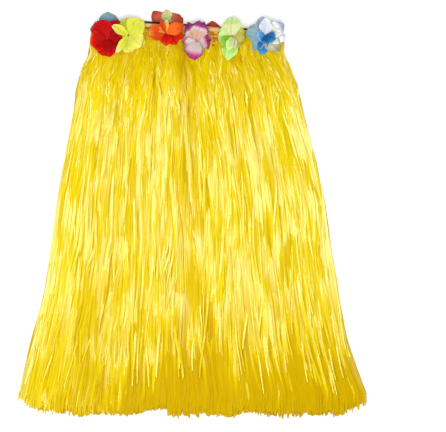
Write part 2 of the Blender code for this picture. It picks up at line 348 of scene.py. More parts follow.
CRIMPED_STRETCHES = 13.0
film_lines, given, result = new_group(
    "film_lines",
    {"Lines across": 3.0, "Waves along": 14.0, "Strand": 0.0, "Crimp pitch": 0.0042},
    ["Lines", "Crinkle", "Crimps"])
across_film, along_film = mesh_places(film_lines, "film")
lines_across = times(film_lines, across_film, given["Lines across"])
waves_along = times(film_lines, along_film, given["Waves along"])
turns = calculate(film_lines, "DIVIDE", times(film_lines, along_film, 2 * math.pi), given["Crimp pitch"])
stretches = noise(film_lines, 0.0, times(film_lines, along_film, CRIMPED_STRETCHES), given["Strand"])
crimped = add_node(film_lines, "ShaderNodeMapRange",
                   {"Value": stretches, "From Min": 0.56, "From Max": 0.66}).outputs["Result"]
connect(film_lines, result, {
    "Lines": noise(film_lines, lines_across, along_film, given["Strand"], detail=3.0),
    "Crinkle": noise(film_lines, across_film, waves_along, given["Strand"]),
    "Crimps": times(film_lines, calculate(film_lines, "SINE", turns), crimped)})
print("film lines:", len(film_lines.nodes), "nodes")

# %% The film's finishes
LINES_ACROSS, WAVES_ALONG = 3.0, 90.0
NOISE_BETWEEN_TINTS = 57.0
STREAKS, STREAK_COVER = [(0.30, "F8ECA0"), (0.62, "FFFFFF")], 0.5
# Painted shade: points are mixed towards this deeper gold, as the shade towards the hem, at the waist under
# the flowers and in the middle parting.
PAINTED_SHADE_GOLD, PAINTED_SHADE_GOLD_COVER, PAINTED_SHADE_GOLD_SMOOTHING = "BA9400", 0.75, 0.08
CRINKLE_ROUGHNESS = 0.20
SCUFFED_BELOW, SCUFFING = 0.80, 0.20
CRIMP_HEIGHT = 0.6


def film_material(name, tints, roughness, gloss_level):
    """Raffia film: its tints run from the deepest strand to the palest, and painted shade darkens it where
    each point says.
    """
    material, tree, shader = new_material(name)
    strand, shade_amount = attribute(tree, "strand_tint"), attribute(tree, "painted_shade_gold")
    lines = add_node(tree, "ShaderNodeGroup", {
        "Lines across": LINES_ACROSS, "Waves along": WAVES_ALONG,
        "Strand": times(tree, strand, NOISE_BETWEEN_TINTS)}, node_tree=film_lines).outputs
    body = mix(tree, times(tree, shade_amount, PAINTED_SHADE_GOLD_COVER), ramp(tree, strand, tints), colour(PAINTED_SHADE_GOLD))
    streaks = ramp(tree, lines["Lines"], STREAKS)
    crinkled = calculate(tree, "MULTIPLY_ADD", lines["Crinkle"], CRINKLE_ROUGHNESS,
                         roughness - CRINKLE_ROUGHNESS / 2)
    crinkled = calculate(tree, "SUBTRACT", crinkled, times(tree, shade_amount, PAINTED_SHADE_GOLD_SMOOTHING))
    scuffed = times(tree, calculate(tree, "SUBTRACT", SCUFFED_BELOW, strand, clamp=True), SCUFFING)
    height = calculate(tree, "ADD", lines["Lines"], lines["Crinkle"])
    height = calculate(tree, "ADD", height, times(tree, lines["Crimps"], CRIMP_HEIGHT))
    connect(tree, shader, {
        "Base Color": mix(tree, STREAK_COVER, body, streaks, "MULTIPLY"),
        "Roughness": calculate(tree, "ADD", crinkled, scuffed),
        "Normal": bump(tree, height, 0.4, 0.0007),
        "IOR": 1.65, "Specular IOR Level": gloss_level, "Specular Tint": (0.50, 0.78, 0.74, 1.0)})
    return material


# The last, cream stop of each tint ramp is reached only by strands at the very edge, where it is painted
# light.
FILM_TINTS = [(0, "CCA800"), (0.35, "D8BA00"), (0.66, "DEC400"), (0.94, "E4CC02"), (1, "F2E684")]
# The film beneath the outer strands takes darker tints: painted shade under the strands above.
SHADED_UNDER_TINTS = [(0, "C09400"), (0.47, "D2B000"), (0.94, "DEC000"), (1, "EEDE70")]
raffia_film = film_material("raffia_film", FILM_TINTS, 0.20, gloss_level=0.35)
raffia_film_under_shaded = film_material("raffia_film_under_shaded", SHADED_UNDER_TINTS, 0.24, gloss_level=0.06)
raffia_film_matt = film_material("raffia_film_matt", FILM_TINTS, 0.30, gloss_level=0.02)
print("made", raffia_film.name, raffia_film_under_shaded.name, raffia_film_matt.name)

# %% [markdown]
# ## Laying the strands
# Thousands of strands could be hair, but hair is round and takes no glint along a fold.
# Here each strand is a strip of film two faces wide with a slight fold down its middle.
# Strands are sewn on in locks: a lock leaves the header from one gathered point, crosses its
# neighbours in the crimped zone, and falls almost straight below it. So most of the bends
# belong to the lock, and each strand adds a little of its own. All the strips of a layer
# are worked out together as arrays and become one mesh.

# %% Bends and eases
def bends(chance, count, along, cycles, size):
    """Slow random bends along each strand: a few sine waves added up."""
    total = np.zeros((count, len(along)))
    for order, rate in enumerate(cycles, start=1):
        rates = rate * chance.uniform(0.75, 1.3, (count, 1))
        turns = chance.uniform(0, 1, (count, 1))
        total += np.sin(2 * np.pi * (rates * along + turns)) / order
    return size * total


def ease(value, start, end):
    """0 before start, 1 after end, smooth between."""
    part = np.clip((value - start) / (end - start), 0, 1)
    return part * part * (3 - 2 * part)


def near(value, place, reach):
    """1 at a place, falling to nothing over about twice the reach on both sides."""
    return np.exp(-((value - place) / reach) ** 2)


# %% Strips of film
def smooth_mesh(name, points, faces, layer, places):
    """A smooth mesh, with a layer of places that its material reads."""
    mesh = bpy.data.meshes.new(name)
    mesh.from_pydata(points, [], faces, shade_flat=False)
    corners = np.zeros(len(mesh.loops), int)
    mesh.loops.foreach_get("vertex_index", corners)
    mesh.uv_layers.new(name=layer).data.foreach_set("uv", places[corners].ravel())
    return mesh


def carry(mesh, name, values):
    """Gives each point of a mesh a named value, which its material reads."""
    mesh.attributes.new(name, "FLOAT", "POINT").data.foreach_set("value", values)


def place_piece(name, mesh):
    """Puts a mesh in the scene as a piece that rides on the body."""
    piece = add_object(name, mesh)
    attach(piece, BODY)
    return piece


def strips(name, centres, sideways, upward, widths, fold, resting):
    """One mesh of film strips, each two faces wide: its two edges and its folded middle."""
    count, steps = widths.shape
    half = widths[..., None] / 2
    middle = centres + upward * (widths * fold)[..., None]
    points = np.stack([centres - sideways * half, middle, centres + sideways * half], axis=2)
    points[..., 2] = np.maximum(points[..., 2], resting[:, None, None])
    first = (np.arange(count)[:, None] * steps + np.arange(steps - 1)).reshape(-1, 1) * 3
    quads = np.concatenate([first + [0, 1, 4, 3], first + [1, 2, 5, 4]])
    gaps = np.linalg.norm(np.diff(centres, axis=1), axis=2)
    film = np.zeros((count, steps, 3, 2))
    film[..., 0] = [0.0, 0.5, 1.0]
    film[:, 1:, :, 1] = np.cumsum(gaps, axis=1)[:, :, None]
    return smooth_mesh(name, points.reshape(-1, 3).tolist(), quads.tolist(), "film", film.reshape(-1, 2))


# %% One layer's settings and its random draws
# A layer's columns: its wall, its seed, how many locks and strands in each, which depths of the
# wall it lies between, its narrowest and widest film, points along a strand, the middle and
# spread of its tints, and its finish. Then how far its roots reach up the header and stand off
# it, how much more it is drawn in below the waist, how open its partings are, how much shorter
# than the hem it is cut, how far it rolls in degrees, strays sideways, and lifts at its tips.
Layer = namedtuple(
    "Layer",
    "name wall seed locks per_lock depths widths steps tints film "
    "root_rise root_lift tuck openness cut_short roll lean tip_lift",
    defaults=(0.004, 0.0, 0.010, 0.0, None, 22, 0.0, 0.0))
FINER_AT_ROOT = 1.12


class Strands:
    """The strands of one layer: their locks, their random draws, and the steps along them."""

    def __init__(self, layer):
        self.layer = layer
        self.chance = np.random.default_rng(layer.seed)
        self.locks = layer.locks
        self.count = layer.locks * layer.per_lock
        self.lock = np.repeat(np.arange(layer.locks), layer.per_lock)
        self.along = np.linspace(0, 1, layer.steps) ** FINER_AT_ROOT

    def lock_bends(self, cycles, size):
        """Bends that the strands of a lock share."""
        return bends(self.chance, self.locks, self.along, cycles, size)[self.lock]

    def own_bends(self, cycles, size):
        """Bends of each strand's own."""
        return bends(self.chance, self.count, self.along, cycles, size)

    def own_chance(self, size):
        """A random size for each strand, around 0."""
        return self.chance.normal(0, size, (self.count, 1))

    def own_between(self, ends):
        """A random size for each strand, between two ends."""
        return self.chance.uniform(*ends, (self.count, 1))

    def lock_chance(self, size):
        """A random size around 0 for each strand, shared in its lock."""
        return self.chance.normal(0, size, self.locks)[self.lock]


# %% Where strands run across the wall
OUTERMOST_LOCK = 0.97
ROOT_SLIP = 0.012
LOCK_WANDER, LOCK_SPREAD, STRAND_WANDER = 0.05, 1.25, 0.026
TIP_GATHER, TIP_STRAY = 0.30, 0.03
DRAWN_IN_LEFT, DRAWN_IN_RIGHT, RIGHT_CORNER_FLARE = 0.024, 0.017, 0.014
MIDDLE_PARTING = -0.01
PARTING_CLOSES = 0.12
# share across, gap's half width as a share, and how far down the gap runs
PARTINGS = [(MIDDLE_PARTING, 0.026, 0.36), (-0.43, 0.014, 0.17), (0.44, 0.013, 0.20), (0.27, 0.010, 0.15),
            (-0.21, 0.010, 0.24), (0.72, 0.012, 0.22), (-0.70, 0.010, 0.20)]


def across_shares(strands):
    """Each strand's share across the wall: gathered in its lock at the root, spread below."""
    chance, lock, along = strands.chance, strands.lock, strands.along
    lock_root = (np.arange(strands.locks) + 0.5) / strands.locks * (2 * OUTERMOST_LOCK) - OUTERMOST_LOCK
    lock_root += chance.normal(0, ROOT_SLIP, strands.locks)
    lock_fall = lock_root + chance.normal(0, LOCK_WANDER, strands.locks)
    lock_fall = np.clip(lock_fall, -OUTERMOST_LOCK, OUTERMOST_LOCK)
    root = lock_root[lock] + chance.normal(0, ROOT_SLIP, strands.count)
    fall = lock_fall[lock] + chance.normal(0, LOCK_SPREAD / strands.locks, strands.count)
    spread = ease(along, 0.02, 0.30)
    share = root[:, None] * (1 - spread) + fall[:, None] * spread
    share += strands.own_chance(STRAND_WANDER) * along ** 3
    share += (lock_fall[lock][:, None] - share) * TIP_GATHER * ease(along, 0.86, 1.0)
    share += strands.layer.lean * strands.own_chance(1) * along ** 2
    share = np.clip(share, -OUTERMOST_SHARE, OUTERMOST_SHARE)
    return share + TIP_STRAY * np.tanh(strands.own_chance(1)) * along ** 2


def parted(share, fallen, openness):
    """Keeps each strand on its own side of the partings, where the locks lie apart."""
    for place, half_gap, run in PARTINGS:
        side = np.where(share[:, :1] < place, -1.0, 1.0)
        open_here = openness * half_gap * (1 - ease(fallen, run * 0.6, run))
        held = place + side * np.maximum(side * (share - place), open_here)
        freed = share + (held - share) * (1 - ease(fallen, run, run + PARTING_CLOSES))
        share = np.where(fallen < run, held, freed)
    return share


def drawn_in(share, fallen, tuck):
    """Draws the sides in below the waist, and lets the right corner of the hem flare."""
    right = DRAWN_IN_RIGHT - RIGHT_CORNER_FLARE * ease(fallen, 0.66, 0.80)
    pull = np.where(share < 0, DRAWN_IN_LEFT, right)
    return share * (1 - (pull + tuck) * ease(fallen, 0.06, 0.18))


# %% How far down strands reach
BARE_HEADER, BARE_HEADER_AT, BARE_HEADER_REACH = 1.4, 0.27, 0.055
BARE_LEFT_END = 0.8
LOCK_RISE, STRAND_RISE = 0.25, 0.12
HEM_LEVEL = -0.36
SHORTFALL_SHAPE, SHORTFALL_SIZE, LOCK_SHORTFALL = 1.15, 0.0095, 0.0040
PAST_HEM = 0.002
LEFT_CORNER_LIFT = 0.010


def levels_down(strands, share):
    """The level of each point, and how far it has fallen from its root."""
    layer, chance = strands.layer, strands.chance
    root, tip = share[:, 0], share[:, -1]
    bare = 1 - BARE_HEADER * near(root, BARE_HEADER_AT, BARE_HEADER_REACH)
    bare = bare - BARE_LEFT_END * ease(-root, 0.80, 0.97)
    lock_rise = chance.uniform(-LOCK_RISE, LOCK_RISE, strands.locks)[strands.lock]
    own_rise = chance.uniform(-STRAND_RISE, STRAND_RISE, strands.count)
    start = np.interp(root, SHARES, layer.wall.top) + layer.root_rise * (bare + lock_rise + own_rise)
    foot = layer.wall.place(tip, HEM_LEVEL)
    end = np.interp(foot, layer.wall.hem_places, layer.wall.hem)
    end = end + chance.gamma(SHORTFALL_SHAPE, SHORTFALL_SIZE, strands.count) - PAST_HEM
    end += strands.lock_chance(LOCK_SHORTFALL)
    end += LEFT_CORNER_LIFT * ease(-tip, 0.90, 0.99)
    if layer.cut_short is not None:
        end += chance.uniform(*layer.cut_short, strands.count)
    level = start[:, None] + (end - start)[:, None] * strands.along
    return level, start[:, None] - level


# %% Where the fall turns calm
CALM_FROM, CALM_SLANT = 0.585, 0.36
LOCK_RAGGED, STRAND_RAGGED = 0.032, 0.034
CALM_EDGE = 0.03
SHORT_STRANDS_LATER = 0.2
STILLED = (0.62, 0.92)


def settling(strands, share, fallen):
    """How far down each strand turns calm, and how much it still rolls at each point."""
    settle = CALM_FROM + CALM_SLANT * ease(-share, 0.10, 1.00)
    settle += strands.lock_chance(LOCK_RAGGED)[:, None]
    settle += strands.own_chance(STRAND_RAGGED)
    if strands.layer.cut_short is not None:
        settle += SHORT_STRANDS_LATER
    calm = ease(fallen, settle - CALM_EDGE, settle + CALM_EDGE)
    return settle, 1 - strands.own_between(STILLED) * calm


# %% The path of each strand
CRIMP_REACH = 0.085
WAIST_PINCH = 0.007
ROOT_SUNK = 0.004
TIP_LIFTS_FROM = 0.86


def places_across(strands, share, level, fallen, crimp, slow):
    """How far across each point lies: crimps near the waist, and slow drifts below it."""
    crimps = strands.lock_bends((8.0, 15.0), 0.0058) + strands.own_bends((19.0, 33.0), 0.0024)
    drifts = strands.lock_bends((0.9, 1.9), 0.0050) + strands.own_bends((1.3, 2.9), 0.0022)
    pinch = WAIST_PINCH * share ** 3 * (1 - ease(fallen, 0.01, 0.075))
    across = strands.layer.wall.place(share, level) + crimps * crimp * (1 - 0.6 * share ** 6)
    return across + drifts * slow * (1 - 0.5 * share ** 6) - pinch


def heights(strands, share, level, fallen, crimp, swaying):
    """How high each point lies: in its depth of the wall, with bends, root and tip."""
    layer = strands.layer
    height = layer.wall.height(share, level, strands.own_between(layer.depths))
    height += strands.lock_bends((2.6, 5.4), 0.0016) * swaying
    height += strands.own_bends((11.0, 23.0), 0.0010) * crimp
    height += strands.lock_bends((7.0, 13.0), 0.0016) * crimp
    height = height + strands.own_bends((3.1, 6.3), 0.0005) - ROOT_SUNK * (1 - ease(fallen, 0.0, 0.007))
    tip = np.clip((strands.along - TIP_LIFTS_FROM) / (1 - TIP_LIFTS_FROM), 0, 1)
    height += layer.tip_lift * tip ** 1.5
    return height + layer.root_lift * (1 - ease(fallen, 0.016, 0.034))


def rolled(strands, centres, crimp, lively):
    """The directions across the film and out of it, after the roll of lock and strand."""
    run = np.gradient(centres, axis=1)
    run /= np.linalg.norm(run, axis=2, keepdims=True)
    flat_side = np.cross(run, [0.0, 0.0, 1.0])
    flat_side /= np.linalg.norm(flat_side, axis=2, keepdims=True)
    flat_up = np.cross(flat_side, run)
    roll = strands.layer.roll
    lock_roll = strands.lock_bends((1.0, 2.6), roll * 0.90)
    own_roll = strands.own_bends((2.4, 5.6), roll * 0.20) + strands.own_chance(roll * 0.13)
    crimp_roll = strands.lock_bends((6.0, 12.0), 22.0) + strands.own_bends((13.0, 27.0), 26.0)
    angle = np.radians((lock_roll + own_roll) * lively + crimp_roll * crimp)[..., None]
    sideways = flat_side * np.cos(angle) + flat_up * np.sin(angle)
    upward = flat_up * np.cos(angle) - flat_side * np.sin(angle)
    return sideways, upward


# %% Width, tint and finish along a strand, with painted light and shade
GATHERED_WIDTH, TIP_NARROWING = 0.62, 0.45
FOLD = 0.07
RESTING = (0.0004, 0.0030)
# Painted light makes the strands paler towards the sides and cream at the very edge; painted shade makes
# them darker in the middle parting.
PAINTED_LIGHT_AT_SIDES, PAINTED_SHADE_IN_PARTING = 0.30, 0.55
PALEST_INSIDE, PAINTED_GLOW_AT_EDGE = 0.94, 0.06
# How strongly painted shade deepens the film at the waist, under the flowers, and in the middle parting.
WAIST_PAINTED_SHADE, PARTING_PAINTED_SHADE = 0.4, 1.2
MATT_ROOTS = (-0.10, 0.21)
SHADED_ENOUGH = 0.25


def film_widths(strands, fallen):
    """How wide the film is: gathered narrow at the root, and cut narrow at the tip."""
    width = strands.own_between(strands.layer.widths)
    width = width * (GATHERED_WIDTH + (1 - GATHERED_WIDTH) * ease(fallen, 0.0, 0.10))
    return width * (1 - TIP_NARROWING * ease(strands.along, 0.95, 1.0))


def film_tints(strands, share):
    """How pale each strand is: a random tint, with painted light making it paler at the sides and cream at
    the very edge, and painted shade making it darker in the middle parting.
    """
    root, tip = share[:, 0], np.abs(share[:, -1])
    tint = strands.chance.normal(*strands.layer.tints, strands.count) + PAINTED_LIGHT_AT_SIDES * ease(tip, 0.60, 0.92)
    tint = tint - PAINTED_SHADE_IN_PARTING * near(root, MIDDLE_PARTING, 0.035)
    return np.clip(tint, 0, PALEST_INSIDE) + PAINTED_GLOW_AT_EDGE * ease(tip, 0.925, 0.975)


def film_finish_and_shade(strands, share, fallen, settle):
    """Where the film is matt, and how strongly painted shade deepens its colour: at the waist, the parting
    and the hem.
    """
    painted_shade = ease(fallen, settle + 0.01, settle + 0.08) + WAIST_PAINTED_SHADE * (1 - ease(fallen, 0.03, 0.15))
    matt_root = strands.own_between(MATT_ROOTS)
    shaded = near(share, MIDDLE_PARTING, 0.10) * (1 - ease(fallen, 0.045, 0.11))
    matt = (fallen > settle + CALM_EDGE) | (fallen < matt_root) | (shaded > SHADED_ENOUGH)
    return matt, np.maximum(painted_shade, PARTING_PAINTED_SHADE * shaded)


# %% Lay one layer
def lay_strands(layer):
    """One layer of strands on a wall, between two depths of it, as one piece."""
    strands = Strands(layer)
    share = across_shares(strands)
    level, fallen = levels_down(strands, share)
    share = drawn_in(parted(share, fallen, layer.openness), fallen, layer.tuck)
    settle, lively = settling(strands, share, fallen)
    crimp = np.exp(-fallen / CRIMP_REACH) * ease(fallen, 0.0, 0.02)
    slow = ease(fallen, 0.03, 0.25)
    across = places_across(strands, share, level, fallen, crimp, slow)
    height = heights(strands, share, level, fallen, crimp, slow * lively)
    centres = np.stack([across, level, height], axis=2)
    sideways, upward = rolled(strands, centres, crimp, lively)
    widths = film_widths(strands, fallen)
    fold = strands.own_chance(FOLD)
    tint = film_tints(strands, share)
    resting = strands.chance.uniform(*RESTING, strands.count)
    matt, painted_shade = film_finish_and_shade(strands, share, fallen, settle)

    mesh = strips(layer.name, centres, sideways, upward, widths, fold, resting)
    carry(mesh, "strand_tint", np.repeat(tint, layer.steps * 3))
    carry(mesh, "painted_shade_gold", np.repeat(painted_shade.ravel(), 3))
    mesh.materials.append(layer.film)
    mesh.materials.append(raffia_film_matt)
    mesh.polygons.foreach_set("material_index", np.tile(matt[:, 1:].ravel(), 2).astype(np.int32))
    mesh.validate()
    piece = place_piece(layer.name, mesh)
    print(layer.name, strands.count, "strands", len(mesh.polygons) * 2, "triangles")
    return piece


# %% The front wall's strands
# The deeper a layer lies, the lower the middle of its tints: painted shade under the layers above.
raffia_front_inner = lay_strands(Layer(
    "raffia_front_inner", front_wall, seed=11, locks=46, per_lock=18, depths=(0.05, 0.40),
    widths=(0.0042, 0.0066), steps=28, tints=(0.30, 0.20), film=raffia_film_under_shaded))
raffia_front_middle = lay_strands(Layer(
    "raffia_front_middle", front_wall, seed=12, locks=58, per_lock=19, depths=(0.35, 0.80),
    widths=(0.0038, 0.0064), steps=44, tints=(0.45, 0.22), film=raffia_film_under_shaded, openness=0.6))
raffia_front_outer = lay_strands(Layer(
    "raffia_front_outer", front_wall, seed=13, locks=62, per_lock=17, depths=(0.75, 1.10),
    widths=(0.0034, 0.0066), steps=46, tints=(0.60, 0.24), film=raffia_film,
    root_rise=0.022, root_lift=0.0016, tuck=0.0, openness=1.0))
raffia_front_short = lay_strands(Layer(
    "raffia_front_short", front_wall, seed=14, locks=26, per_lock=5, depths=(1.0, 1.25),
    widths=(0.0028, 0.0050), steps=46, tints=(0.80, 0.18), film=raffia_film,
    cut_short=(0.03, 0.32), roll=18, lean=0.035, tip_lift=0.008))
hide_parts("grass_front")

# %% The back wall's strands
raffia_back_inner = lay_strands(Layer(
    "raffia_back_inner", back_wall, seed=21, locks=40, per_lock=18, depths=(0.50, 0.95),
    widths=(0.0042, 0.0066), steps=26, tints=(0.30, 0.20), film=raffia_film_under_shaded))
raffia_back_outer = lay_strands(Layer(
    "raffia_back_outer", back_wall, seed=22, locks=58, per_lock=18, depths=(0.0, 0.50),
    widths=(0.0036, 0.0060), steps=44, tints=(0.45, 0.22), film=raffia_film))
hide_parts("grass_back")

# %% [markdown]
# ## The silk flowers
# Each flower is stamped from thin polyester silk: five or more petals that meet in a
# gathered throat, where the thread holds it to the waistband. They were crushed in the
# packet, so no two petals lie alike. A petal could be a flat card with a cut-out picture,
# but then it has no edge and no fold. Here a petal is a small curved sheet with a real
# thickness, and a short table says for each one which way it points, its size and how it
# stands. The dye changes from throat to rim, so each petal also says between which two
# places on its flower's dye card it fades.

# %% Silk: a shared group for the weave
silk_weave, given, result = new_group(
    "silk_weave", {"Thread pitch": 0.0007, "Vein spread": 260.0}, ["Weave", "Veins"])
VEIN_WAVES = 24.0
across_silk, along_silk = mesh_places(silk_weave, "silk")
thread_rate = calculate(silk_weave, "DIVIDE", 2 * math.pi, given["Thread pitch"])
threads = [calculate(silk_weave, "SINE", times(silk_weave, part, thread_rate))
           for part in (across_silk, along_silk)]
connect(silk_weave, result, {
    "Weave": times(silk_weave, *threads),
    "Veins": noise(silk_weave, times(silk_weave, across_silk, given["Vein spread"]),
                   times(silk_weave, along_silk, VEIN_WAVES))})
print("silk weave:", len(silk_weave.nodes), "nodes")

# %% The dyed silks
BLOT_DRIFT = 0.16
VEIN_SHADES, VEIN_COVER = [(0.32, "DCD8D8"), (0.60, "FFFFFF")], 0.6
SMOOTHEST_SILK, VEIN_ROUGHNESS = 0.43, 0.15


def silk_material(name, dye_card):
    """Dyed silk: the colour comes from the place on the dye card that each point carries."""
    material, tree, shader = new_material(name)
    weave = add_node(tree, "ShaderNodeGroup", node_tree=silk_weave).outputs
    blots = add_node(tree, "ShaderNodeTexNoise", {"Scale": 140.0, "Detail": 3.0}).outputs["Fac"]
    drift = times(tree, calculate(tree, "SUBTRACT", blots, 0.5), BLOT_DRIFT)
    dye = calculate(tree, "ADD", attribute(tree, "dye"), drift, clamp=True)
    veins = ramp(tree, weave["Veins"], VEIN_SHADES)
    height = calculate(tree, "ADD", weave["Weave"], weave["Veins"])
    connect(tree, shader, {
        "Base Color": mix(tree, VEIN_COVER, ramp(tree, dye, dye_card), veins, "MULTIPLY"),
        "Roughness": calculate(tree, "MULTIPLY_ADD", weave["Veins"], VEIN_ROUGHNESS, SMOOTHEST_SILK),
        "Normal": bump(tree, height, 0.3, 0.0003),
        "Sheen Weight": 0.02, "Sheen Roughness": 0.4, "Specular IOR Level": 0.08})
    return material


# each dye from throat to rim: (place on the card, colour)
DYE_CARDS = {
    # Red: its last, orange stop is a painted highlight along the rim of the left petal.
    "red": [(0, "920004"), (0.4, "C60608"), (0.75, "DA160E"), (1, "EA4E30")],
    "yellow": [(0, "A8A828"), (0.35, "C0C63A"), (0.75, "DCDC46"), (1, "F2DC90")],
    "orange": [(0, "B00000"), (0.2, "DC1A0A"), (0.45, "D2440C"), (0.7, "EC7028"), (0.9, "E0AC40"),
               (1, "EED48C")],
    "purple": [(0, "CCA08A"), (0.3, "D6C4C0"), (0.5, "CC8CA6"), (0.7, "B23274"), (0.85, "8C4288"),
               (1, "74365E")],
    # Green: its first, saturated stop is painted shade in the opening between the petals.
    "green": [(0, "78B424"), (0.25, "A2CE50"), (0.45, "C4EE8A"), (0.65, "CEDE94"), (0.8, "D8C6A8"),
              (1, "B4AE34")],
    "blue": [(0, "22609C"), (0.15, "3088C4"), (0.33, "88C0E8"), (0.48, "84A2A0"), (0.62, "A6B2D0"),
             (0.78, "F2F4F6"), (0.9, "E2DEBC"), (1, "94987A")],
    "coral": [(0, "6A1C1C"), (0.35, "C44632"), (0.6, "D26A4C"), (0.8, "D8C074"), (1, "C8E098")],
    # Maroon: painted shade, a red flower darkened for the shade that its petals lie in.
    "maroon": [(0, "2E0A06"), (0.5, "4A120C"), (1, "6A1E14")],
    "dull_red": [(0, "8A2C24"), (1, "BE4432")],
}
silk = {name: silk_material("petals_" + name, card) for name, card in DYE_CARDS.items()}
print("dyed", len(silk), "silks")

# %% One petal
# direction in degrees (0 right, 90 towards the waist edge); in millimetres its length, its
# width, how far the tip stands above the throat and how much it rolls down again; then how
# pointed the tip is, the roll about its own length in degrees, and the dye at throat and rim
Petal = namedtuple("Petal", "direction reach width stand curl point roll dye_in dye_out")
ACROSS, ALONG = 17, 19
SILK_THICKNESS = 0.00035
PETAL_STEP = 0.0006
FACE_DOWN_GAP = 0.0005
THROAT_WIDTH, ROUNDS_FROM = 0.42, 0.60
CUP, RUFFLE = 0.10, 0.085
CREASE, CRUSH = 0.0008, 0.0016
THROAT_LIFT = 0.0008
TOOTH, TIP_TOOTH = 0.16, 0.0016


def petal_points(petal, chance, serrated):
    """A grid of points for one petal, its throat at the origin, with its cloth places and dye."""
    side, out = np.meshgrid(np.linspace(-1, 1, ACROSS), np.linspace(0.03, 0.985, ALONG))
    widening = THROAT_WIDTH + (1 - THROAT_WIDTH) * ease(out, 0.0, 0.55)
    rounding = np.clip(1 - (np.maximum(out - ROUNDS_FROM, 0) / 0.41) ** 2.4, 0.02, 1)
    rounding = rounding ** (0.42 + petal.point)
    half = petal.width / 2 * widening * rounding
    nibble, bulge = chance.uniform(0, 2 * np.pi, 2)
    along = 1 - 0.20 * side ** 4 * out + 0.035 * np.sin(3.4 * side + nibble) * out ** 3
    along = petal.reach * out * along
    across = side * half * (1 + 0.05 * np.sin(5.2 * out + np.sign(side) * bulge))
    if serrated:
        teeth = np.where(np.arange(ALONG) % 2, TOOTH, -TOOTH)[:, None] * np.abs(side) ** 6
        across *= 1 + teeth * ease(out, 0.3, 0.6)
        along += np.where(np.arange(ACROSS) % 2, TIP_TOOTH, -TIP_TOOTH) * ease(out, 0.85, 0.98)
    waves = chance.uniform(1.2, 2.0), chance.uniform(0, 2 * np.pi)
    ruffle = RUFFLE * petal.width * np.sin(np.pi * waves[0] * side + waves[1]) * out ** 2
    crease = -CREASE * near(side, 0, 0.16) * np.sin(np.pi * out)
    cup = CUP * petal.width * side ** 2 * np.sin(np.pi * np.minimum(out, 1))
    rise = petal.stand * np.sin(np.pi / 2 * np.minimum(out * 1.25, 1)) - petal.curl * ease(out, 0.55, 1.0)
    crush = CRUSH * np.sin(4.3 * side + 7.1 * out + nibble) * np.sin(6.7 * out - 3.1 * side + bulge) * out
    height = THROAT_LIFT + rise + ruffle + crease + cup + crush
    roll = math.radians(petal.roll) * ease(out, 0.1, 0.7)
    height += across * np.sin(roll)
    across = across * np.cos(roll)
    turn = math.radians(petal.direction)
    points = np.stack([along * math.cos(turn) - across * math.sin(turn),
                       along * math.sin(turn) + across * math.cos(turn), height], axis=2)
    rim = np.maximum(np.abs(side) ** 5 * ease(out, 0.25, 0.7), ease(out, 0.55, 1.0))
    if serrated:
        rim = np.maximum(np.abs(side) ** 3 * ease(out, 0.3, 0.8), ease(out, 0.42, 0.86))
    dye = petal.dye_in + (petal.dye_out - petal.dye_in) * rim
    cloth = np.stack([side * half, along], axis=2)
    return points.reshape(-1, 3), cloth.reshape(-1, 2), dye.reshape(-1)


def grid_faces(columns, rows, first=0):
    """The four-sided faces of a grid of points."""
    corner = (np.arange(rows - 1)[:, None] * columns + np.arange(columns - 1)).reshape(-1, 1) + first
    return corner + [0, 1, columns + 1, columns]


# %% A flower from its petals
def cloth_piece(name, points, faces, cloth, material, slot, thickness=SILK_THICKNESS, **values):
    """A cloth piece with a real thickness, its own places on the cloth, and named values."""
    mesh = smooth_mesh(name, points.tolist(), faces.tolist(), "silk", cloth)
    for value_name, value in values.items():
        carry(mesh, value_name, value)
    mesh.materials.append(material)
    piece = place_piece(name, mesh)
    shell = piece.modifiers.new("cloth_thickness", "SOLIDIFY")
    shell.thickness = thickness
    shell.offset = 0.0
    bpy.context.view_layer.update()
    thick = piece.evaluated_get(bpy.context.evaluated_depsgraph_get())
    thick_mesh = bpy.data.meshes.new_from_object(thick)
    piece.modifiers.clear()
    piece.data = thick_mesh
    return piece


def silk_flower(node, dye, rows, seed, floor_up=0.002, serrated=False, face_down=False):
    """A flower in the place of its solid in the frame, each petal laid over the last."""
    chance = np.random.default_rng(seed)
    low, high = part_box(node)
    petals = [Petal(row[0], *[size / 1000 for size in row[1:5]], *row[5:]) for row in rows]
    laid = [petal_points(petal, chance, serrated) for petal in petals]
    faces = [grid_faces(ACROSS, ALONG, first=order * ACROSS * ALONG) for order in range(len(laid))]
    points, cloth, dyes = [np.concatenate(part) for part in zip(*laid)]
    points[:, 2] += np.repeat(np.arange(len(laid)) * PETAL_STEP, ACROSS * ALONG)
    if face_down:
        lowest, highest = points[:, 2].min(), points[:, 2].max()
        points[:, 2] = (highest - points[:, 2]) / (highest - lowest)
        points[:, 2] = points[:, 2] * (high.z - low.z - 2 * FACE_DOWN_GAP) + FACE_DOWN_GAP
        floor_up = 0.0
    points += [(low.x + high.x) / 2, (low.y + high.y) / 2, low.z + floor_up]
    piece = cloth_piece(node.replace("flower", "silk_flower"), points, np.concatenate(faces), cloth,
                        silk[dye], "petals_" + dye.removeprefix("dull_"), dye=dyes)
    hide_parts(node)
    print(piece.name, len(petals), "petals", len(piece.data.polygons) * 2, "triangles")
    return piece


